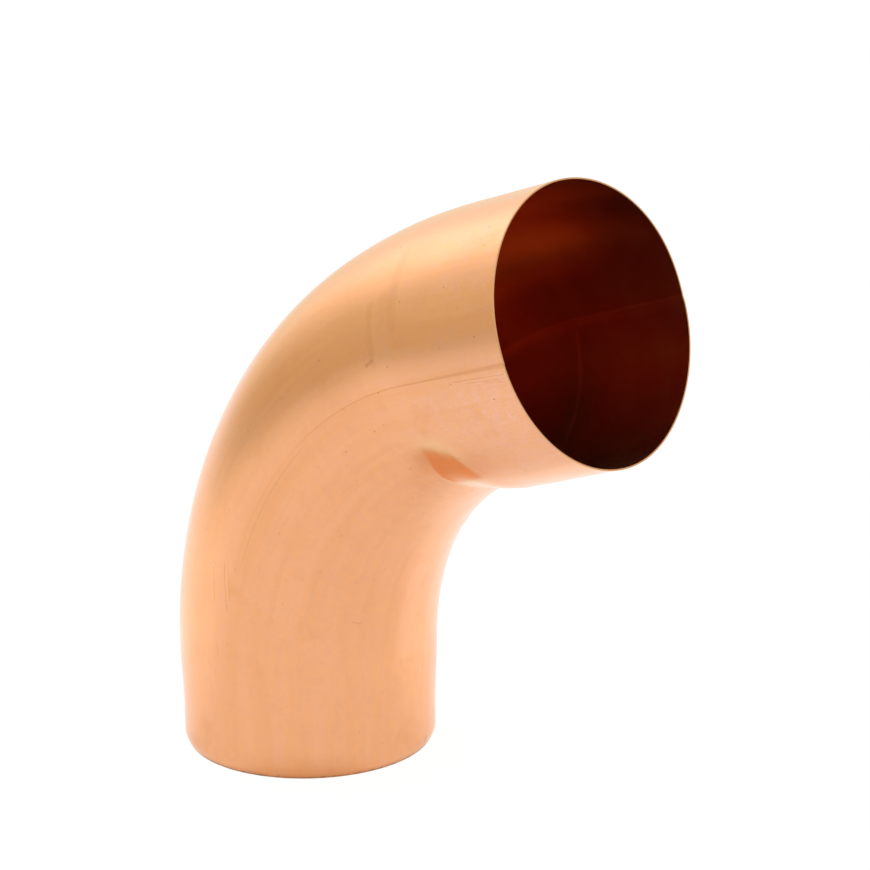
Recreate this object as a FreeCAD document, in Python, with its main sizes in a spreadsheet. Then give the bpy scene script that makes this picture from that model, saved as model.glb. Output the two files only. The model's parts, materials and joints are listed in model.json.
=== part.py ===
"""Downspout elbow: one formed shell of thin copper sheet, 72 degrees, for round rainwater pipe.

The spigot stands on the XY plane with its axis on Z, and the bend turns towards +X.
A widened socket ends the bend. Lengths are in millimetres and angles in degrees.
"""
import FreeCAD, Part
import math
import os

import Sketcher

NODE = "elbow"

# Driving dimensions: alias, value, what it is
SIZES = [
    ("wall", 0.6, "sheet thickness"),
    ("tip_radius", 49.0, "outer radius of the spigot's straight tip"),
    ("tip_length", 16.0, "length of the straight tip"),
    ("spigot_length", 40.0, "tip and taper together, up to the start of the bend"),
    ("body_radius", 50.0, "outer radius of the bend"),
    ("bend_radius", 136.0, "centreline radius of the bend"),
    ("bend_angle", 72.0, "turn between the spigot's axis and the socket's"),
    ("pinch_length", 72.0, "centreline length over which the throat is pressed in"),
    ("pinch_depth", 1.2, "depth of the crease at the throat, where the shoulder starts"),
    ("shoulder_length", 16.0, "centreline length over which the bend widens to the socket"),
    ("socket_radius", 50.8, "inner radius of the socket"),
    ("socket_length", 49.0, "straight length of the socket"),
    ("edge_round", 0.15, "rounding of the cut edges at both ends"),
]
FIRST = {alias: value for alias, value, meaning in SIZES}

# Angles round the bend where its stretches meet, counted from the spigot
SHOULDER_END = "Sizes.bend_angle"
CREASE = f"({SHOULDER_END} - Sizes.shoulder_length / Sizes.bend_radius * 180 / pi)"
PINCH_START = f"({CREASE} - Sizes.pinch_length / Sizes.bend_radius * 180 / pi)"

# The two sides of the sheet in the tip, the bend and the socket
TIP_OUTER = "Sizes.tip_radius"
TIP_INNER = "(Sizes.tip_radius - Sizes.wall)"
BODY_OUTER = "Sizes.body_radius"
BODY_INNER = "(Sizes.body_radius - Sizes.wall)"
SOCKET_OUTER = "(Sizes.socket_radius + Sizes.wall)"
SOCKET_INNER = "Sizes.socket_radius"

# Most of the sheet's thickness that one rounded edge may take
EDGE_SHARE = 0.45

# Sketcher's numbers for the ends and the centre of an edge, and for the sketch's own axes
START, END, CENTRE = range(1, 4)
H_AXIS, V_AXIS = range(-1, -3, -1)
ORIGIN = (H_AXIS, START)

Y_DIRECTION = FreeCAD.Vector(0, 1, 0)
Z_DIRECTION = FreeCAD.Vector(0, 0, 1)


def make_sheet(doc):
    """The spreadsheet of driving dimensions."""
    sheet = doc.addObject("Spreadsheet::Sheet", "Sizes")
    for row, (alias, value, meaning) in enumerate(SIZES, start=1):
        sheet.set(f"A{row}", meaning)
        sheet.set(f"B{row}", str(value))
        sheet.setAlias(f"B{row}", alias)
    doc.recompute()


def new_sketch(body, name, plane):
    """A sketch attached to one of the body's own origin planes."""
    sketch = body.newObject("Sketcher::SketchObject", name)
    support = next(item for item in body.Origin.OriginFeatures if item.Role == plane)
    sketch.AttachmentSupport = (support, [""])
    sketch.MapMode = "FlatFace"
    return sketch


def place_on_bend(sketch, angle):
    """Stands a sketch square to the bend's centreline, with its +x side towards the throat."""
    tilt = FreeCAD.Rotation(Y_DIRECTION, FIRST["bend_angle"])
    sketch.AttachmentOffset = FreeCAD.Placement(FreeCAD.Vector(), tilt)
    sketch.setExpression("AttachmentOffset.Rotation.Angle", angle)
    sketch.setExpression("AttachmentOffset.Base.x", f"Sizes.bend_radius * (1 - cos({angle}))")
    rise = f"Sizes.spigot_length + Sizes.bend_radius * sin({angle})"
    sketch.setExpression("AttachmentOffset.Base.z", rise)


def bind(sketch, kind, *places, size, guess):
    """Adds a dimension to a sketch and binds it to an expression."""
    index = sketch.addConstraint(Sketcher.Constraint(kind, *places, guess))
    sketch.setExpression(f"Constraints[{index}]", size)


def join(sketch, first, second):
    """Makes two points of a sketch one."""
    sketch.addConstraint(Sketcher.Constraint("Coincident", *first, *second))


def add_circle(sketch, radius, guess):
    """A full circle about the sketch's origin."""
    circle = sketch.addGeometry(Part.Circle(FreeCAD.Vector(), Z_DIRECTION, guess))
    join(sketch, (circle, CENTRE), ORIGIN)
    bind(sketch, "Radius", circle, size=radius, guess=guess)


def add_split_ring(sketch, radius, guess, depth=None):
    """A ring of two arcs that meet at the sides of the bend.

    The arc on the throat side may be pressed in by a depth. It still passes through both
    meeting points, so its radius grows a little and its centre moves back along the x axis.
    """
    circle = Part.Circle(FreeCAD.Vector(), Z_DIRECTION, guess)
    back = sketch.addGeometry(Part.ArcOfCircle(circle, math.pi / 2, 3 * math.pi / 2))
    throat = sketch.addGeometry(Part.ArcOfCircle(circle, -math.pi / 2, math.pi / 2))
    join(sketch, (back, CENTRE), ORIGIN)
    join(sketch, (back, START), (throat, END))
    join(sketch, (back, END), (throat, START))
    sketch.addConstraint(Sketcher.Constraint("PointOnObject", back, START, V_AXIS))
    sketch.addConstraint(Sketcher.Constraint("PointOnObject", back, END, V_AXIS))
    bind(sketch, "Radius", back, size=radius, guess=guess)
    if depth is None:
        join(sketch, (throat, CENTRE), ORIGIN)
        return
    reach = f"({radius} - {depth})"
    shift = f"({radius} * {radius} - {reach} * {reach}) / (2 * {reach})"
    bind(sketch, "DistanceX", throat, CENTRE, *ORIGIN, size=shift, guess=FIRST["pinch_depth"])


def add_section(body, name, angle, outer, inner, depth=None):
    """The sheet's section at one angle of the bend."""
    sketch = new_sketch(body, name, "XY_Plane")
    place_on_bend(sketch, angle)
    add_split_ring(sketch, outer, FIRST["body_radius"], depth)
    add_split_ring(sketch, inner, FIRST["body_radius"] - FIRST["wall"], depth)
    return sketch


def add_spine(body, name, first, last):
    """The bend's centreline between two of its angles, each held by a radius."""
    sketch = new_sketch(body, name, "XZ_Plane")
    radius = FIRST["bend_radius"]
    centre = FreeCAD.Vector(radius, FIRST["spigot_length"], 0)
    circle = Part.Circle(centre, Z_DIRECTION, radius)
    guesses = {START: math.pi / 2, END: math.pi}
    arc = sketch.addGeometry(Part.ArcOfCircle(circle, guesses[START], guesses[END]))
    bind(sketch, "DistanceX", *ORIGIN, arc, CENTRE, size="Sizes.bend_radius", guess=centre.x)
    bind(sketch, "DistanceY", *ORIGIN, arc, CENTRE, size="Sizes.spigot_length", guess=centre.y)
    bind(sketch, "Radius", arc, size="Sizes.bend_radius", guess=radius)
    for point, angle in ((END, first), (START, last)):
        ray = sketch.addGeometry(Part.LineSegment(centre, circle.value(guesses[point])), True)
        join(sketch, (ray, START), (arc, CENTRE))
        join(sketch, (ray, END), (arc, point))
        bind(sketch, "Angle", ray, size=f"180 deg - {angle} * 1 deg", guess=guesses[point])
    return sketch


def add_spigot(body):
    """The straight tip and the taper that widens it to the bend, turned about Z."""
    sketch = new_sketch(body, "SpigotProfile", "XZ_Plane")
    # Each corner's radius and height, then a first guess at both
    tip, top, wall = FIRST["tip_length"], FIRST["spigot_length"], FIRST["wall"]
    corners = [
        (TIP_OUTER, None, FIRST["tip_radius"], 0),
        (TIP_OUTER, "Sizes.tip_length", FIRST["tip_radius"], tip),
        (BODY_OUTER, "Sizes.spigot_length", FIRST["body_radius"], top),
        (BODY_INNER, "Sizes.spigot_length", FIRST["body_radius"] - wall, top),
        (TIP_INNER, "Sizes.tip_length", FIRST["tip_radius"] - wall, tip),
        (TIP_INNER, None, FIRST["tip_radius"] - wall, 0),
    ]
    points = [FreeCAD.Vector(x, y, 0) for radius, height, x, y in corners]
    lines = [
        sketch.addGeometry(Part.LineSegment(start, end))
        for start, end in zip(points, points[1:] + points[:1])
    ]
    for line, following in zip(lines, lines[1:] + lines[:1]):
        join(sketch, (line, END), (following, START))
    for line, (radius, height, x, y) in zip(lines, corners):
        bind(sketch, "DistanceX", *ORIGIN, line, START, size=radius, guess=x)
        if height is None:
            sketch.addConstraint(Sketcher.Constraint("PointOnObject", line, START, H_AXIS))
        else:
            bind(sketch, "DistanceY", *ORIGIN, line, START, size=height, guess=y)

    spigot = body.newObject("PartDesign::Revolution", "Spigot")
    spigot.Profile = sketch
    spigot.ReferenceAxis = (sketch, ["V_Axis"])
    spigot.Angle = 360


def add_bend(body):
    """The round stretch of the bend, a ring section turned about the bend's own axis."""
    sketch = new_sketch(body, "BendProfile", "XY_Plane")
    sketch.setExpression("AttachmentOffset.Base.z", "Sizes.spigot_length")
    add_circle(sketch, BODY_OUTER, FIRST["body_radius"])
    add_circle(sketch, BODY_INNER, FIRST["body_radius"] - FIRST["wall"])
    low = FreeCAD.Vector(FIRST["bend_radius"], 0, 0)
    axis = sketch.addGeometry(Part.LineSegment(low, low + Y_DIRECTION * FIRST["body_radius"]), True)
    sketch.addConstraint(Sketcher.Constraint("Vertical", axis))
    sketch.addConstraint(Sketcher.Constraint("PointOnObject", axis, START, H_AXIS))
    bind(sketch, "DistanceX", *ORIGIN, axis, START, size="Sizes.bend_radius", guess=low.x)
    bind(sketch, "DistanceY", axis, START, axis, END, size=BODY_OUTER, guess=FIRST["body_radius"])

    bend = body.newObject("PartDesign::Revolution", "Bend")
    bend.Profile = sketch
    bend.ReferenceAxis = (sketch, ["Axis0"])
    bend.setExpression("Angle", PINCH_START)


def add_pinch_and_shoulder(body):
    """The end of the bend: the throat is pressed in to a crease, then the whole ring widens."""
    before = add_section(body, "PinchStartSection", PINCH_START, BODY_OUTER, BODY_INNER)
    crease = add_section(body, "CreaseSection", CREASE, BODY_OUTER, BODY_INNER, "Sizes.pinch_depth")
    after = add_section(body, "ShoulderEndSection", SHOULDER_END, SOCKET_OUTER, SOCKET_INNER)
    stretches = (
        ("Pinch", before, crease, PINCH_START, CREASE),
        ("Shoulder", crease, after, CREASE, SHOULDER_END),
    )
    for name, section, next_section, first, last in stretches:
        spine = add_spine(body, f"{name}Spine", first, last)
        pipe = body.newObject("PartDesign::AdditivePipe", name)
        pipe.Profile = section
        pipe.Spine = (spine, ["Edge1"])
        pipe.Sections = [next_section]
        pipe.Transformation = "Multisection"


def add_socket(body):
    """The straight collar that takes the pipe above."""
    sketch = new_sketch(body, "SocketProfile", "XY_Plane")
    place_on_bend(sketch, SHOULDER_END)
    add_circle(sketch, SOCKET_OUTER, FIRST["socket_radius"] + FIRST["wall"])
    add_circle(sketch, SOCKET_INNER, FIRST["socket_radius"])
    socket = body.newObject("PartDesign::Pad", "Socket")
    socket.Profile = sketch
    socket.setExpression("Length", "Sizes.socket_length")
    return socket


def round_rims(body, socket):
    """Takes the sharpness off the sheet's cut edges at the spigot's tip and the socket's mouth."""
    mouth = socket.Profile[0].Placement.multVec(Z_DIRECTION * FIRST["socket_length"])
    near = FIRST["wall"]
    edges = [
        f"Edge{number}"
        for number, edge in enumerate(socket.Shape.Edges, start=1)
        if isinstance(edge.Curve, Part.Circle)
        and min(edge.Curve.Center.distanceToPoint(end) for end in (mouth, FreeCAD.Vector())) < near
    ]
    rims = body.newObject("PartDesign::Fillet", "Rims")
    rims.Base = (socket, edges)
    rims.setExpression("Radius", f"min(Sizes.edge_round; {EDGE_SHARE} * Sizes.wall)")


def check(doc, body):
    """Stops if any object failed or the shell is not one valid solid."""
    for item in doc.Objects:
        if {"Invalid", "Error"} & set(item.State):
            raise RuntimeError(f"{item.Name} failed: {item.State}")
    shape = body.Shape
    if shape.isNull() or not shape.isValid() or len(shape.Solids) != 1:
        raise RuntimeError(f"{body.Label} is not one valid solid")


def main():
    doc = FreeCAD.newDocument("downspout_elbow")
    make_sheet(doc)
    body = doc.addObject("PartDesign::Body", NODE)
    body.Label = NODE
    add_spigot(body)
    add_bend(body)
    add_pinch_and_shoulder(body)
    socket = add_socket(body)
    doc.recompute()
    round_rims(body, socket)
    doc.recompute()
    check(doc, body)
    os.makedirs("parts", exist_ok=True)
    body.Shape.exportStep(os.path.join("parts", f"{body.Label}.step"))


main()
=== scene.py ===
"""Looks of the downspout elbow: one formed shell of bright mill copper standing on a white table.

The shell is drawn as a fine closed mesh that stands for the CAD node. Each of its points has a
station, the distance along the pipe's centreline from the lower rim, and an angle round the pipe,
from the back of the bend (0) over the far side (90) and the throat (180) to the near side (270).
Lengths are in metres and angles in radians, unless a comment says otherwise.
"""
import json
import math

import bpy
import numpy as np
from mathutils import Matrix, Vector


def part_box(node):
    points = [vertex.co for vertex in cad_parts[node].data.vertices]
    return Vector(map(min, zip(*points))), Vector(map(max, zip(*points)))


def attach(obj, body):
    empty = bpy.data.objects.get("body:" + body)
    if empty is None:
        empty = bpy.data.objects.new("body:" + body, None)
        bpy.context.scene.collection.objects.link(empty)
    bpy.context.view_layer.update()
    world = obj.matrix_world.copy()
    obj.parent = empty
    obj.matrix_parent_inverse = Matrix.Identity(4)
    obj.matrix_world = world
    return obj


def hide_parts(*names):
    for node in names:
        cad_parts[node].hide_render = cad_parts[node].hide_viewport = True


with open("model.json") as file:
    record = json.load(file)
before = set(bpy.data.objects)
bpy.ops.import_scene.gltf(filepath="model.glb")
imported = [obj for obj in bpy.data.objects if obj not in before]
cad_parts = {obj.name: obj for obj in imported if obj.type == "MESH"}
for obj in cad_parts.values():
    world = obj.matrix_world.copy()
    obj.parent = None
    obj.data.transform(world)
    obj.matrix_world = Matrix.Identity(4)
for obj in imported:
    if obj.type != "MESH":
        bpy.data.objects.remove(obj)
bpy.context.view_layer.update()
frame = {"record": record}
MM = 0.001

# Sizes worked out from the frame
MOUNTS = {mount["name"]: mount for mount in frame["record"]["mounts"]}
SPIGOT, SOCKET = MOUNTS["spigot"], MOUNTS["socket"]
MOUTH, MOUTH_AXIS = Vector(SOCKET["pos_m"]), Vector(SOCKET["axis"])
BOX_LOW, BOX_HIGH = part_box("elbow")
TIP_RADIUS = SPIGOT["dims"]["r_mm"] * MM
TIP_LENGTH = SPIGOT["dims"]["length_mm"] * MM
SOCKET_LENGTH = SOCKET["dims"]["length_mm"] * MM
SOCKET_RADIUS = BOX_HIGH.y
WALL = SOCKET_RADIUS - SOCKET["dims"]["r_mm"] * MM
BODY_RADIUS = -BOX_LOW.x
TURN = math.atan2(MOUTH_AXIS.x, MOUTH_AXIS.z)
BEND_RADIUS = (MOUTH.x - SOCKET_LENGTH * math.sin(TURN)) / (1 - math.cos(TURN))
SPIGOT_LENGTH = MOUTH.z - SOCKET_LENGTH * math.cos(TURN) - BEND_RADIUS * math.sin(TURN)

# Sizes that the frame doesn't give
TAPER_EASE = 4 * MM
PINCH_LENGTH = 72 * MM
PINCH_DEPTH = 1.2 * MM
PINCH_POWER = 1.5
SHOULDER_LENGTH = 16 * MM
RIM_ROUND = 0.15 * MM

# Stations where the stretches meet
BEND_END = SPIGOT_LENGTH + BEND_RADIUS * TURN
CREASE = BEND_END - SHOULDER_LENGTH
PINCH_START = CREASE - PINCH_LENGTH
TOTAL = BEND_END + SOCKET_LENGTH

# The skin lies this far inside the CAD surface, so that it stays inside the CAD box
INSET = 0.1 * MM

# The lower rim turns in, least at one angle and opposite it
CURL_LENGTH = 4 * MM
CURL_DEPTH = 1.6 * MM
CURL_POWER = 1.5
CURL_LEAST = math.radians(228)
CURL_SQUEEZE = 0.35

# The fold across the throat. Its ends, in degrees from the throat's middle, climb to the mouth
FOLD_ENDS = (37, 55)
FOLD_CLIMB = 7 * MM
FOLD_EASE = 0.2

# The throat lies past these cosines. It widens from its fold on, and the rest of the ring slowly
THROAT_SIDES = (0.48, 0.78)
THROAT_WIDE = BEND_END + 6.5 * MM
THROAT_POWER = 1.15
SLOW_EASE = 14 * MM

# The two lengthwise seams: angle in degrees, and the way round in which the sheet steps down
SEAMS = ((265.0, 1), (89.3, -1))
NEAR_SEAM, FAR_SEAM = (place for place, way in SEAMS)
SEAM_DRIFT = math.radians(-1.3)
SEAM_FADE = (70 * MM, 190 * MM)
SEAM_REACH = 25 * MM
SEAM_FACE = 2 * MM
SEAM_LINE = 0.28 * MM
SEAM_BROADENS = 1.5 * MM
SEAM_STEP = 0.008 * MM
SEAM_SLOPE = 0.13

# Waves in the sheet, and how far the mouth is bent out at its far top, far underside and throat
WAVE_HEIGHT = 0.02 * MM
BENT_TOP = 1.4 * MM
BENT_LOW = -0.6 * MM
BENT_THROAT = -0.4 * MM

# Spacing of the mesh round the pipe, in degrees
COARSE_STEP, FINE_STEP = 2.0, 0.15

# Colours of the copper
SHEET_DEEP = (0.865, 0.412, 0.216, 1)
SHEET_LIGHT = (0.885, 0.436, 0.244, 1)
# Painted sheen: a paler copper towards the mouth
PAINTED_MOUTH_SHEEN = (0.89, 0.495, 0.36, 1)
PATCH = (0.84, 0.385, 0.185, 1)
GRIT = (0.80, 0.375, 0.192, 1)
MOTTLE = (0.90, 0.43, 0.195, 1)
RUBBED_DEEP = (0.86, 0.385, 0.17, 1)
RUBBED_PALE = (0.885, 0.45, 0.28, 1)
BLOTCH = (0.82, 0.355, 0.15, 1)
# Painted reflection: a paler, more golden tint over the fold, where the copper is mirrored in itself
FOLD_REFLECTION_TINT = (0.90, 0.575, 0.295, 1)
TRACK_DEEP = (0.76, 0.335, 0.155, 1)
TRACK_LIGHT = (0.90, 0.43, 0.21, 1)
# Colour of the painted highlight strokes
HIGHLIGHT_PAINT = (0.90, 0.50, 0.33, 1)
# Dark marks, and painted shade in the ring the die left
DARK_MARK_AND_SHADE = (0.42, 0.165, 0.06, 1)
SPECK = (0.33, 0.11, 0.04, 1)
INNER = (0.70, 0.385, 0.20, 1)
INNER_BAND = (0.95, 0.53, 0.31, 1)
# Dark cut edges, with dirt and painted shade at the lower rim
EDGE_DIRT_AND_SHADE = (0.30, 0.13, 0.055, 1)
GLANCING_TINT = (0.98, 0.965, 0.945, 1)

# Marks on the sheet, and strokes of painted highlight, reflection and shade, each from one place to another
# and with its width. A place is a station in mm and an angle in degrees, and the width is in mm
SCRATCHES = (
    ((236, 262.3), (258.5, 261.3), 0.26), ((241, 260.9), (258.5, 259.7), 0.22),
    ((248, 260.0), (257.5, 258.6), 0.22), ((88, 262.3), (150, 262.6), 0.2),
    ((79.2, 277.3), (66.6, 273.0), 0.3), ((83.6, 271.4), (65.4, 265.5), 0.3),
    ((82, 268.5), (69.8, 264.6), 0.25), ((51.2, 270.2), (45.6, 269.3), 0.25),
    ((72.6, 208.8), (71.6, 205.0), 0.4),
)
# Painted shade: two dark bands on the die's ring, where its ripple, which the mesh lacks, turns away from
# the light
DIE_RING_SHADE = (((200.9, 276), (201.3, 300), 1.8), ((211.3, 288), (211.3, 322), 3.2))
# Painted highlights: pale strokes on the die's ring, down the spigot's throat side, and along wrinkles
# below the fold
HIGHLIGHT_STROKES = (
    ((206, 268), (206, 292), 6), ((105, 182), (48, 179.8), 6),
    ((189, 246.7), (192.9, 233.8), 0.8), ((187.2, 237.3), (188.8, 214.2), 0.9),
    ((183.6, 228.6), (184.5, 209.9), 0.7),
)
SMUDGES = (((197.6, 276.4), (200.6, 277.6), 1.1), ((190.5, 196.0), (191.3, 197.4), 0.6))
# Where the fold's painted reflection tint lies
FOLD_REFLECTION_PATCH = ((205, 211), (210, 229), 15)
INNER_ARC = ((208, 94), (207, 162), 1.6)
RIM_NICK = ((3.0, 162.6), (5.0, 160.6), 0.5)

# Colours of the table and the light
WHITE = (1, 1, 1, 1)
TABLE = (0.94, 0.94, 0.94, 1)
ROOM_WARM = (1, 0.98, 0.74, 1)
RIM_SHADE = (0.80, 0.70, 0.58, 1)
RED_DEEP = (0.115, 0.018, 0.002, 1)
RED_BRIGHT = (0.38, 0.042, 0.006, 1)
LAMP = (1, 1, 1.15, 1)

# The table, the lamp's direction, and how often light is mirrored on its way down the pipe
TABLE_HALF = 6.0
LAMP_WAY = Vector((-0.834, 0.104, 0.542)).normalized()
MIRRORED_TIMES = 8

# The photograph's camera, fitted to the elbow's outlines
PHOTO_PIXELS = 870
CAMERA_AZIMUTH = math.radians(41.47)
CAMERA_ELEVATION = math.radians(15.23)
CAMERA_ROLL = math.radians(-0.54)
CAMERA_DISTANCE = 1.0363
CAMERA_TARGET = Vector((0.0664, 0, 0.1322))
CAMERA_CLIP_END = 20
FOCUS_PIXELS = 2838.2
SENSOR_MM = 36


def ramp(x, start, end):
    """0 before start, 1 after end, smooth between."""
    t = np.clip((x - start) / (end - start), 0, 1)
    return t * t * (3 - 2 * t)


def spread(*stops):
    """Positions from the first stop to the last. Each stop is a place and the spacing wanted there."""
    places = [stops[0][0]]
    ends = [place for place, spacing in stops]
    gaps = [spacing for place, spacing in stops]
    while places[-1] < ends[-1]:
        places.append(places[-1] + float(np.interp(places[-1], ends, gaps)))
    places = np.array(places)
    return ends[0] + (places - ends[0]) * (ends[-1] - ends[0]) / (places[-1] - ends[0])


def centreline(station):
    """Centre of the section at each station, and the direction from it to the back of the bend."""
    turned = np.clip((station - SPIGOT_LENGTH) / BEND_RADIUS, 0, TURN)
    straight = np.minimum(station, SPIGOT_LENGTH)
    past = np.maximum(station - BEND_END, 0)
    x = BEND_RADIUS * (1 - np.cos(turned)) + past * math.sin(TURN)
    z = straight + BEND_RADIUS * np.sin(turned) + past * math.cos(TURN)
    zero = np.zeros_like(x)
    return np.stack([x, zero, z], -1), np.stack([-np.cos(turned), zero, np.sin(turned)], -1)


def fold_line(angle):
    """Station of the sharp fold across the throat."""
    return CREASE + FOLD_CLIMB * ramp(np.degrees(np.abs(angle - math.pi)), *FOLD_ENDS)


def outer_radius(station, angle):
    """Distance of the outer surface from the centreline."""
    tapered = ramp(station, TIP_LENGTH - TAPER_EASE, SPIGOT_LENGTH + TAPER_EASE)
    radius = TIP_RADIUS + (BODY_RADIUS - TIP_RADIUS) * tapered
    squeezed = 1 - 2 * CURL_SQUEEZE * np.cos(angle - CURL_LEAST) ** 2
    radius = radius - CURL_DEPTH * squeezed * np.clip(1 - station / CURL_LENGTH, 0, 1) ** CURL_POWER
    # The back and the sides widen slowly, the throat from its fold on
    along, across = np.cos(angle), np.sin(angle)
    fold = fold_line(angle)
    share = np.clip((station - fold) / (THROAT_WIDE - fold), 0, 1)
    eased = np.where(share < FOLD_EASE, share**2 / (2 * FOLD_EASE), share - FOLD_EASE / 2)
    sharp = 1 - (1 - eased / (1 - FOLD_EASE / 2)) ** THROAT_POWER
    slow = ramp(station, CREASE - SLOW_EASE, BEND_END + SLOW_EASE)
    widened = slow + (sharp - slow) * ramp(-along, *THROAT_SIDES)
    radius = radius + (SOCKET_RADIUS - BODY_RADIUS) * widened
    # The throat half is an arc through both sides of the ring, pressed in at its middle
    pressed = np.clip((station - PINCH_START) / (fold - PINCH_START), 0, 1) ** PINCH_POWER
    reach = radius - PINCH_DEPTH * (pressed * (1 - widened))
    shift = (radius**2 - reach**2) / (2 * reach)
    arc = shift * along + np.sqrt((reach + shift) ** 2 - (shift * across) ** 2)
    return np.where(along < 0, arc, radius) - INSET


def along_socket(station):
    """0 up to the socket, 1 at the mouth."""
    return np.clip((station - BEND_END) / SOCKET_LENGTH, 0, 1)


def seam_width(station):
    """Width of a seam's sloping face: a line in the bend, broad at the mouth."""
    return SEAM_LINE + SEAM_BROADENS * along_socket(station)


def from_seam(station, angle, seam):
    """Distance round the pipe from a seam's edge, positive on the lower side."""
    place, way = seam
    edge = math.radians(place) + way * SEAM_DRIFT * along_socket(station)
    return way * (angle - edge) * BODY_RADIUS


def relief(station, angle):
    """What the forming left on the sheet, outwards from the skin."""
    waves = np.sin(4 * angle + station / (13 * MM)) * np.sin(station / (9 * MM) - 2 * angle)
    waves = waves + np.sin(7 * angle - station / (21 * MM)) * np.sin(station / (15 * MM) + 3 * angle + 1)
    out = WAVE_HEIGHT * waves * ramp(station, 4 * MM, 20 * MM) * ramp(TOTAL - station, 1 * MM, 12 * MM)
    for seam in SEAMS:
        away, width = from_seam(station, angle, seam), seam_width(station)
        down = np.clip(away / width, 0, 1) * (1 - ramp(away, width, SEAM_REACH))
        out = out - (SEAM_STEP + SEAM_SLOPE * width) * down * ramp(station, *SEAM_FADE)
    # Handling left the mouth a little out of round, mostly in its far half
    quarter = angle / (math.pi / 2)
    top = np.sin(math.pi * np.clip(quarter, 0, 1) ** 1.4) ** 1.3
    low = np.sin(math.pi * np.clip(quarter - 1, 0, 1)) ** 2
    throat = np.minimum(np.cos(angle), 0) ** 2
    bent = BENT_TOP * top + BENT_LOW * low + BENT_THROAT * throat
    return out + bent * ramp(station, BEND_END, TOTAL)


def profile():
    """The sheet's outline along the pipe, as stations and depths below the outer surface."""
    low, high = RIM_ROUND, TOTAL - RIM_ROUND
    before_crease = CREASE - 14 * MM
    outer_bend = spread(
        (low, 0.4 * MM), (6 * MM, 1 * MM), (SPIGOT_LENGTH, 2.4 * MM),
        (before_crease, 2 * MM), (CREASE, 0.25 * MM),
    )
    outer_socket = spread(
        (CREASE, 0.25 * MM), (BEND_END + 4 * MM, 1 * MM), (TOTAL - 4 * MM, 2.2 * MM), (high, 0.3 * MM),
    )
    inner_bend = spread(
        (low, 0.6 * MM), (SPIGOT_LENGTH, 5 * MM), (before_crease, 4 * MM), (CREASE, 0.5 * MM),
    )
    inner_socket = spread(
        (CREASE, 0.5 * MM), (BEND_END, 2 * MM), (TOTAL - 5 * MM, 3 * MM), (high, 0.6 * MM),
    )
    # Each rim is rounded by two quarter arcs
    quarter = np.radians([0, 22.5, 45, 67.5, 90])
    rising = [(RIM_ROUND * (1 - math.sin(q)), RIM_ROUND * (1 - math.cos(q))) for q in quarter[1:]]
    falling = [(RIM_ROUND * (1 - math.cos(q)), RIM_ROUND * (1 - math.sin(q))) for q in quarter[:-1]]
    rows = [(s, 0.0) for s in np.append(outer_bend, outer_socket[1:])]
    rows += [(TOTAL - back, depth) for back, depth in rising]
    rows += [(TOTAL - back, WALL - depth) for back, depth in falling]
    rows += [(s, WALL) for s in np.append(inner_bend, inner_socket[1:])[::-1]]
    rows += [(back, WALL - depth) for back, depth in rising]
    rows += falling
    return np.array(rows)


def angles():
    """Angles round the pipe, close together over each seam's sloping face."""
    face = math.degrees(SEAM_FACE / BODY_RADIUS)
    margin, reach = 0.4, 10
    stops = [(0, COARSE_STEP)]
    for place, way in sorted(SEAMS):
        first, last = sorted((place, place + way * face))
        stops += [(first - reach, COARSE_STEP), (first - margin, FINE_STEP)]
        stops += [(last + margin, FINE_STEP), (last + reach, COARSE_STEP)]
    return np.radians(spread(*stops, (360, COARSE_STEP))[:-1])


def settle(station, angle):
    """Moves the mesh's rows on to the fold and its columns on to the seams' edges."""
    near = np.interp(station, [CREASE - 25 * MM, CREASE, BEND_END + 12 * MM], [0, 1, 0])
    moved = station + (fold_line(angle) - CREASE) * near
    turned = angle
    for place, way in SEAMS:
        away, width = way * (angle - math.radians(place)) * BODY_RADIUS, seam_width(moved)
        drifted = 1 - ramp(np.abs(away), 4 * MM, SEAM_REACH)
        turned = turned + way * SEAM_DRIFT * along_socket(moved) * drifted
        on_face = away * width / SEAM_FACE
        past = width + (away - SEAM_FACE) * (SEAM_REACH - width) / (SEAM_REACH - SEAM_FACE)
        shift = np.where(away < SEAM_FACE, on_face, past) - away
        shift = np.where((away > 0) & (away < SEAM_REACH), shift, 0)
        turned = turned + way * shift / BODY_RADIUS
    return moved, turned


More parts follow.
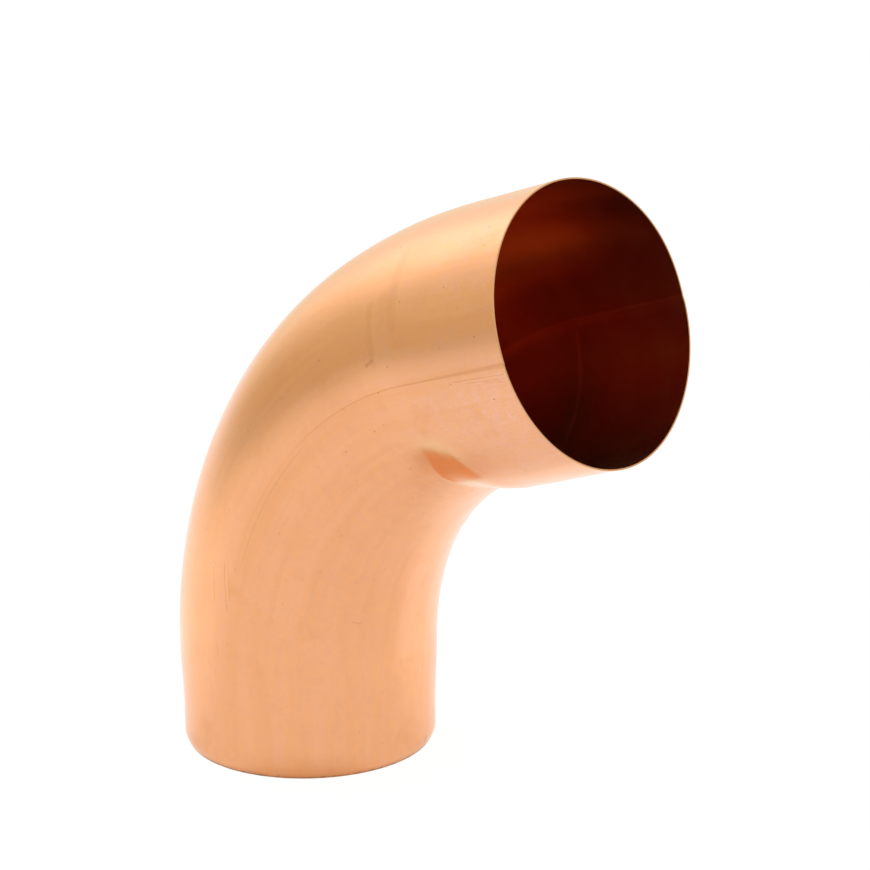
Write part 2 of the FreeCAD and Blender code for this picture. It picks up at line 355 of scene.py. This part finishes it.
def build_elbow():
    """The closed shell, with what the material reads kept on its points and faces."""
    rows, around = profile(), angles()
    station, angle = settle(*np.meshgrid(rows[:, 0], around, indexing="ij"))
    depth = np.repeat(rows[:, 1:], len(around), axis=1)
    centre, outward = centreline(station)
    radius = outer_radius(station, angle) + relief(station, angle) - depth
    side = np.array([0.0, 1.0, 0.0])
    points = centre + radius[..., None] * (
        outward * np.cos(angle)[..., None] + side * np.sin(angle)[..., None]
    )
    count, ring = station.shape
    index = np.arange(count * ring).reshape(count, ring)
    below, right = np.roll(index, -1, axis=0), np.roll(index, -1, axis=1)
    corner = np.roll(below, -1, axis=1)
    faces = np.stack([index, right, corner, below], -1).reshape(-1, 4)

    mesh = bpy.data.meshes.new("elbow_shell")
    mesh.from_pydata(points.reshape(-1, 3).tolist(), [], faces.tolist())
    mesh.polygons.foreach_set("use_smooth", np.ones(len(faces), bool))
    # The pipe drawn straight, for grain that follows the bend, and how far in the sheet a point is
    straight = np.stack([BODY_RADIUS * np.cos(angle), BODY_RADIUS * np.sin(angle), station], -1)
    mesh.attributes.new("straight", "FLOAT_VECTOR", "POINT").data.foreach_set("vector", straight.ravel())
    inside = np.clip(depth / WALL, 0, 1)
    mesh.attributes.new("inside", "FLOAT", "POINT").data.foreach_set("value", inside.ravel())
    # Unrolled sheet: round the pipe by station, each face with its own corners so that it closes
    turn = np.append(angle, angle[:, :1] + 2 * math.pi, axis=1) * BODY_RADIUS
    place = np.stack([turn, np.append(station, station[:, :1], axis=1)], -1)
    above = np.roll(place, -1, axis=0)
    corners = np.concatenate([place[:, :-1], place[:, 1:], above[:, 1:], above[:, :-1]], -1)
    sheet = mesh.uv_layers.new(name="sheet")
    sheet.data.foreach_set("uv", corners.ravel().astype(np.float32))
    mesh.update()
    piece = bpy.data.objects.new("elbow_shell", mesh)
    bpy.context.scene.collection.objects.link(piece)
    return piece


class Nodes:
    """Short ways to add and link shader nodes."""

    def __init__(self, tree):
        self.tree = tree

    def add(self, kind, inputs=None, **settings):
        node = self.tree.nodes.new(kind)
        for key, value in settings.items():
            setattr(node, key, value)
        for key, value in (inputs or {}).items():
            self.put(node.inputs[key], value)
        return node

    def put(self, socket, value):
        if isinstance(value, bpy.types.NodeSocket):
            self.tree.links.new(value, socket)
        else:
            socket.default_value = value

    def math(self, operation, *values):
        node = self.add("ShaderNodeMath", operation=operation)
        for socket, value in zip(node.inputs, values):
            self.put(socket, value)
        return node.outputs[0]

    def chain(self, operation, first, *others):
        for other in others:
            first = self.math(operation, first, other)
        return first

    def times(self, *values):
        return self.chain("MULTIPLY", *values)

    def plus(self, *values):
        return self.chain("ADD", *values)

    def most(self, *values):
        return self.chain("MAXIMUM", *values)

    def span(self, value, low, high, to_low=0.0, to_high=1.0, smooth=False):
        """to_low where the value is low, to_high where it is high, and between them between."""
        kind = "SMOOTHSTEP" if smooth else "LINEAR"
        node = self.add("ShaderNodeMapRange", interpolation_type=kind)
        for socket, given in zip(node.inputs, (value, low, high, to_low, to_high)):
            self.put(socket, given)
        return node.outputs[0]

    def blend(self, factor, first, second, how="MIX"):
        node = self.add("ShaderNodeMix", data_type="RGBA", blend_type=how)
        for number, value in ((0, factor), (6, first), (7, second)):
            self.put(node.inputs[number], value)
        return node.outputs[2]

    def noise(self, vector, scale, detail, rough, along=1.0):
        """Noise in the straight pipe. A small number along it draws the noise out to streaks."""
        if along != 1.0:
            vector = self.add("ShaderNodeMapping", {"Vector": vector, "Scale": (1, 1, along)}).outputs[0]
        inputs = {"Vector": vector, "Scale": scale, "Detail": detail, "Roughness": rough}
        return self.add("ShaderNodeTexNoise", inputs).outputs["Fac"]

    def vector(self, operation, *values):
        node = self.add("ShaderNodeVectorMath", operation=operation)
        for socket, value in zip(node.inputs, values):
            self.put(socket, value)
        return node.outputs["Value" if operation in ("DOT_PRODUCT", "DISTANCE", "LENGTH") else "Vector"]

    def stroke(self, sheet, start, end, width):
        """1 along a mark drawn on the sheet, 0 away from it."""
        first, last = (
            Vector((math.radians(degrees) * BODY_RADIUS, station * MM, 0))
            for station, degrees in (start, end)
        )
        line = last - first
        away = self.vector("SUBTRACT", sheet, first)
        share = self.span(self.vector("DOT_PRODUCT", away, line / line.length_squared), 0, 1)
        foot = self.add("ShaderNodeVectorMath", {0: line, "Scale": share}, operation="SCALE").outputs[0]
        return self.span(self.vector("DISTANCE", away, foot), width * MM, 0.3 * width * MM, smooth=True)

    def strokes(self, sheet, marks):
        return self.most(*(self.stroke(sheet, *mark) for mark in marks))


def new_tree(owner):
    owner.use_nodes = True
    owner.node_tree.nodes.clear()
    return Nodes(owner.node_tree)


def copper_material():
    """Bright mill copper, with the marks of rolling, forming and handling, and with a painted sheen,
    highlights, reflection and shade.
    """
    material = bpy.data.materials.new("mill_copper")
    n = new_tree(material)
    straight = n.add("ShaderNodeAttribute", attribute_name="straight").outputs["Vector"]
    inside = n.add("ShaderNodeAttribute", attribute_name="inside").outputs["Fac"]
    sheet = n.add("ShaderNodeUVMap", uv_map="sheet").outputs[0]
    around, station, _ = n.add("ShaderNodeSeparateXYZ", {0: sheet}).outputs
    outside = n.span(inside, 0, 0.5, 1, 0)

    def at_angle(degrees):
        """Distance round the pipe from the back of the bend."""
        return math.radians(degrees) * BODY_RADIUS

    # Rolled sheet: clouds, a painted sheen that pales the copper towards the mouth, grit, and streaks along
    # the pipe
    cloud = n.noise(straight, 26, detail=4, rough=0.55)
    patch = n.noise(straight, 75, detail=5, rough=0.6)
    grit = n.noise(straight, 1100, detail=2, rough=0.6)
    mottle = n.noise(straight, 280, detail=3, rough=0.6)
    blotch = n.noise(straight, 55, detail=3, rough=0.6)
    rubbed = n.noise(straight, 170, detail=4, rough=0.65, along=0.07)
    streak = n.noise(straight, 260, detail=4, rough=0.65, along=0.04)
    # Painted sheen towards the mouth, stronger or weaker round the pipe as the light falls there
    mouth_sheen = n.times(
        n.span(station, CREASE - 12 * MM, TOTAL, smooth=True), outside,
        n.span(around, at_angle(205), at_angle(242), 0.3, 1),
        n.span(around, at_angle(262), at_angle(276), 1, 0.45),
    )
    colour = n.blend(n.span(cloud, 0.35, 0.65), SHEET_DEEP, SHEET_LIGHT)
    colour = n.blend(mouth_sheen, colour, PAINTED_MOUTH_SHEEN)
    colour = n.blend(n.span(patch, 0.5, 0.72, 0, 0.5), colour, PATCH)
    colour = n.blend(n.span(grit, 0.3, 0.7, 0, 0.5), colour, GRIT)
    colour = n.blend(n.span(mottle, 0.3, 0.7, 0, 0.8), colour, MOTTLE)
    colour = n.blend(n.span(rubbed, 0.5, 0.72, 0, 0.5), colour, RUBBED_DEEP)
    colour = n.blend(n.span(rubbed, 0.5, 0.28, 0, 0.32), colour, RUBBED_PALE)
    colour = n.blend(n.span(blotch, 0.62, 0.72, 0, 0.4), colour, BLOTCH)
    # Painted reflection: the copper mirrored in the fold is tinted paler and more golden
    colour = n.blend(n.times(n.stroke(sheet, *FOLD_REFLECTION_PATCH), outside, 0.7), colour, FOLD_REFLECTION_TINT)

    # Tracks of the forming tool along the bend
    in_bend = n.times(
        n.span(station, 50 * MM, 95 * MM, smooth=True),
        n.span(station, CREASE + 8 * MM, CREASE - 30 * MM, smooth=True),
    )
    tracked = n.times(n.span(in_bend, 0, 1, 0.14, 0.34), outside)
    tracks = n.times(n.span(streak, 0.48, 0.7), tracked)
    colour = n.blend(n.times(tracks, 0.5), colour, TRACK_DEEP)
    colour = n.blend(n.times(n.span(streak, 0.5, 0.3), tracked), colour, TRACK_LIGHT)

    # Painted highlights on the die's ring, down the spigot's throat side and along wrinkles below the fold;
    # then the near seam's line, scratches, the ring left by the die as painted shade, and smudges
    # Painted highlights, stronger or weaker with the rubbed noise
    highlight_mask = n.times(n.strokes(sheet, HIGHLIGHT_STROKES), outside, n.span(rubbed, 0.35, 0.6, 0.06, 0.24))
    colour = n.blend(highlight_mask, colour, HIGHLIGHT_PAINT)
    from_near = n.math("ABSOLUTE", n.math("SUBTRACT", around, at_angle(NEAR_SEAM)))
    seam = n.times(
        n.span(from_near, 0.3 * MM, 0.1 * MM, smooth=True),
        n.span(station, *SEAM_FADE, 0.1, 1), n.span(station, BEND_END, TOTAL - 20 * MM, 1, 0),
    )
    scuff = n.noise(straight, 500, detail=3, rough=0.7, along=2.2)
    broken = n.span(scuff, 0.3, 0.65, 0.35, 1)
    marks = n.most(
        n.times(seam, 0.13), n.times(n.strokes(sheet, SCRATCHES), broken, 0.3),
        n.times(n.strokes(sheet, DIE_RING_SHADE), 0.09), n.times(n.strokes(sheet, SMUDGES), broken, 0.42),
    )
    colour = n.blend(n.times(marks, outside), colour, DARK_MARK_AND_SHADE)

    # Specks: a dot in some cells of the sheet, fainter towards the spigot
    cells = n.add("ShaderNodeTexVoronoi", {"Vector": sheet, "Scale": 95.0}, voronoi_dimensions="2D")
    chosen = n.add("ShaderNodeSeparateColor", {0: cells.outputs["Color"]}).outputs
    specks = n.times(
        n.span(cells.outputs["Distance"], 0.031, 0.016), n.span(chosen[0], 0.60, 0.62),
        n.span(chosen[1], 0, 1, 0.3, 1), n.span(station, 50 * MM, 150 * MM, 0.35, 1), outside,
    )
    colour = n.blend(specks, colour, SPECK)

    # Inside, the sheet's colour is darker, with a light band below the far seam and an arc where the die
    # stopped
    below = n.math("SUBTRACT", around, at_angle(FAR_SEAM - 1.4))
    band = n.times(n.span(below, -0.4 * MM, 0.4 * MM, smooth=True), n.span(below, 5 * MM, 0.4 * MM))
    band = n.most(band, n.times(n.stroke(sheet, *INNER_ARC), 0.6))
    colour = n.blend(inside, colour, n.blend(band, INNER, INNER_BAND))

    # Both cut edges are dark, and the lower rim is darkened above its edge too: partly dirt, and partly
    # painted shade, the table's shadow mirrored in the turned-in rim and the dark gap where the rim meets
    # the table
    rim = n.most(
        n.span(station, 2.2 * MM, 0.8 * MM, 0, 0.35), n.span(station, 1.2 * MM, 0.5 * MM, 0, 0.9),
        n.times(n.stroke(sheet, *RIM_NICK), 0.8),
    )
    edge = n.most(n.times(rim, broken), n.span(station, TOTAL - 0.1 * MM, TOTAL, 0, 0.35))
    colour = n.blend(edge, colour, EDGE_DIRT_AND_SHADE)

    rough = n.span(n.most(tracks, patch), 0.3, 0.8, 0.19, 0.27)
    grain = n.add("ShaderNodeBump", {"Height": streak, "Strength": 0.045, "Distance": 0.05 * MM})
    shader = n.add("ShaderNodeBsdfPrincipled", {
        "Base Color": colour, "Roughness": rough, "Metallic": 1.0, "Normal": grain.outputs[0],
        "Specular Tint": GLANCING_TINT, "Coat Weight": 0.06, "Coat Roughness": 0.15,
    })
    n.add("ShaderNodeOutputMaterial", {"Surface": shader.outputs[0]})
    return material


def build_floor():
    """A white table top with the object's faint shadow. Mirrored, it dims towards the room in front."""
    low, high = -TABLE_HALF, TABLE_HALF
    mesh = bpy.data.meshes.new("floor")
    mesh.from_pydata([(low, low, 0), (high, low, 0), (high, high, 0), (low, high, 0)], [], [(0, 1, 2, 3)])
    floor = bpy.data.objects.new("floor", mesh)
    bpy.context.scene.collection.objects.link(floor)
    material = bpy.data.materials.new("white_table")
    n = new_tree(material)
    path = n.add("ShaderNodeLightPath").outputs
    seen = path["Is Camera Ray"]
    mirrored = n.most(path["Is Glossy Ray"], path["Is Transmission Ray"])
    place = n.add("ShaderNodeNewGeometry").outputs["Position"]
    away = n.vector("LENGTH", place)
    way = n.vector("NORMALIZE", place)

    def towards(x, y):
        """How nearly a place on the table lies in a direction from the elbow's foot."""
        return n.vector("DOT_PRODUCT", way, (x, y, 0))

    # Brighter behind, on the right and on the left, and dimmer in front
    behind = n.times(
        n.span(away, 0.05, 0.16), n.span(towards(-0.6, 0.8), -0.6, 0.4), n.span(away, 0.4, 1.6, 0.25, 0.05),
    )
    right = n.times(n.span(towards(0.57, 0.82), 0.84, 0.97, 0, 0.13), n.span(away, 0.3, 0.15))
    left = n.times(n.span(towards(-0.93, -0.37), 0.8, 0.96, 0, 0.12), n.span(away, 0.7, 0.4))
    dim = n.times(n.span(away, 0.2, 1.6), n.span(towards(0, 1), 0.3, -0.3))
    level = n.plus(1.07, n.math("SUBTRACT", n.plus(behind, right, left), n.times(dim, 0.5)))
    level = n.plus(n.times(seen, 1.03), n.times(level, mirrored))

    # Red inside the turned-in rim, where only light off the copper comes
    rim = TIP_RADIUS - CURL_DEPTH - INSET
    least = n.math("ABSOLUTE", towards(-math.cos(CURL_LEAST), math.sin(CURL_LEAST)))
    wider = n.times(n.math("POWER", least, 2), 2 * CURL_SQUEEZE * CURL_DEPTH)
    open_air = n.span(n.math("SUBTRACT", away, wider), rim - WALL, rim)
    bright = n.span(n.vector("DISTANCE", place, (-10 * MM, 2 * MM, 0)), 56 * MM, 8 * MM)
    red = n.blend(bright, RED_DEEP, RED_BRIGHT)
    # The rim's own shadow, on the side away from the light
    shade = n.times(
        n.span(away, rim + 26 * MM, rim + 5 * MM), n.span(towards(0.66, -0.75), 0.8, 0.98), mirrored,
    )
    white = n.blend(shade, n.blend(n.times(dim, mirrored), WHITE, ROOM_WARM), RIM_SHADE)
    tint = n.blend(open_air, red, white)
    glow = n.add("ShaderNodeEmission", {"Color": tint, "Strength": level})
    diffuse = n.add("ShaderNodeBsdfDiffuse", {"Color": TABLE})
    share = n.plus(n.times(seen, 0.93), n.times(mirrored, 0.75))
    mixed = n.add("ShaderNodeMixShader", {0: share, 1: diffuse.outputs[0], 2: glow.outputs[0]})
    n.add("ShaderNodeOutputMaterial", {"Surface": mixed.outputs[0]})
    mesh.materials.append(material)


def build_world():
    """A white studio: a dim room in front, white behind, and a broad soft light high on the left."""
    world = bpy.data.worlds.new("studio")
    bpy.context.scene.world = world
    n = new_tree(world)
    path = n.add("ShaderNodeLightPath").outputs
    direction = n.add("ShaderNodeTexCoord").outputs["Generated"]
    _, depth, height = n.add("ShaderNodeSeparateXYZ", {0: direction}).outputs

    def levels(*stops):
        """Colours over the height of the direction looked in."""
        node = n.add("ShaderNodeValToRGB", {0: n.span(height, -1, 1)})
        band = node.color_ramp
        band.interpolation = "EASE"
        while len(band.elements) < len(stops):
            band.elements.new(0.5)
        for element, (place, colour) in zip(band.elements, stops):
            element.position = (place + 1) / 2
            element.color = (*colour, 1)
        return node.outputs[0]

    front = levels(
        (-0.3, (0.72, 0.69, 0.53)), (0.0, (0.70, 0.66, 0.468)), (0.1, (0.71, 0.68, 0.497)),
        (0.2, (0.76, 0.75, 0.565)), (0.31, (0.83, 0.83, 0.655)), (0.5, (0.92, 0.92, 0.80)),
        (0.9, (1.0, 1.0, 1.0)),
    )
    behind = levels(
        (-0.2, (1.02, 0.98, 0.86)), (0.0, (1.0, 0.97, 0.73)), (0.15, (1.05, 1.06, 0.92)),
        (0.4, (1.07, 1.07, 1.0)), (0.9, (1.05, 1.05, 1.03)),
    )
    studio = n.blend(n.span(depth, -0.07, 0.33, smooth=True), front, behind)
    # The lamp has a bright middle and a wide faint edge. The wall nearest the camera is a little lit
    lamp = n.vector("DOT_PRODUCT", direction, LAMP_WAY)
    soft = n.plus(
        n.times(n.math("POWER", n.span(lamp, 0.885, 1), 2), 0.62),
        n.span(lamp, 0.80, 1, 0, 0.10), n.span(depth, -0.4, -0.8, 0, 0.04),
    )
    studio = n.blend(soft, studio, LAMP, "ADD")
    colour = n.blend(path["Is Camera Ray"], studio, WHITE)
    glow = n.add("ShaderNodeBackground", {"Color": colour, "Strength": 1.0})
    n.add("ShaderNodeOutputWorld", {"Surface": glow.outputs[0]})


def build_camera():
    """The photograph's view: a long lens, a little above and to the right of the mouth's side."""
    azimuth, elevation, roll = CAMERA_AZIMUTH, CAMERA_ELEVATION, CAMERA_ROLL
    flat = math.cos(elevation)
    back = Vector((math.sin(azimuth) * flat, -math.cos(azimuth) * flat, math.sin(elevation)))
    level = Vector((math.cos(azimuth), math.sin(azimuth), 0))
    upright = back.cross(level)
    right = math.cos(roll) * level + math.sin(roll) * upright
    up = -math.sin(roll) * level + math.cos(roll) * upright
    data = bpy.data.cameras.new("camera")
    data.sensor_width = SENSOR_MM
    data.lens = FOCUS_PIXELS / PHOTO_PIXELS * SENSOR_MM
    data.clip_end = CAMERA_CLIP_END
    camera = bpy.data.objects.new("camera", data)
    turned = Matrix((right, up, back)).transposed().to_4x4()
    camera.matrix_world = Matrix.Translation(CAMERA_TARGET + back * CAMERA_DISTANCE) @ turned
    bpy.context.scene.collection.objects.link(camera)
    bpy.context.scene.camera = camera


bpy.context.scene.view_settings.view_transform = "Standard"
bpy.context.scene.cycles.glossy_bounces = MIRRORED_TIMES
build_camera()
build_world()
build_floor()
elbow = build_elbow()
elbow.data.materials.append(copper_material())
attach(elbow, "root")
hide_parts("elbow")
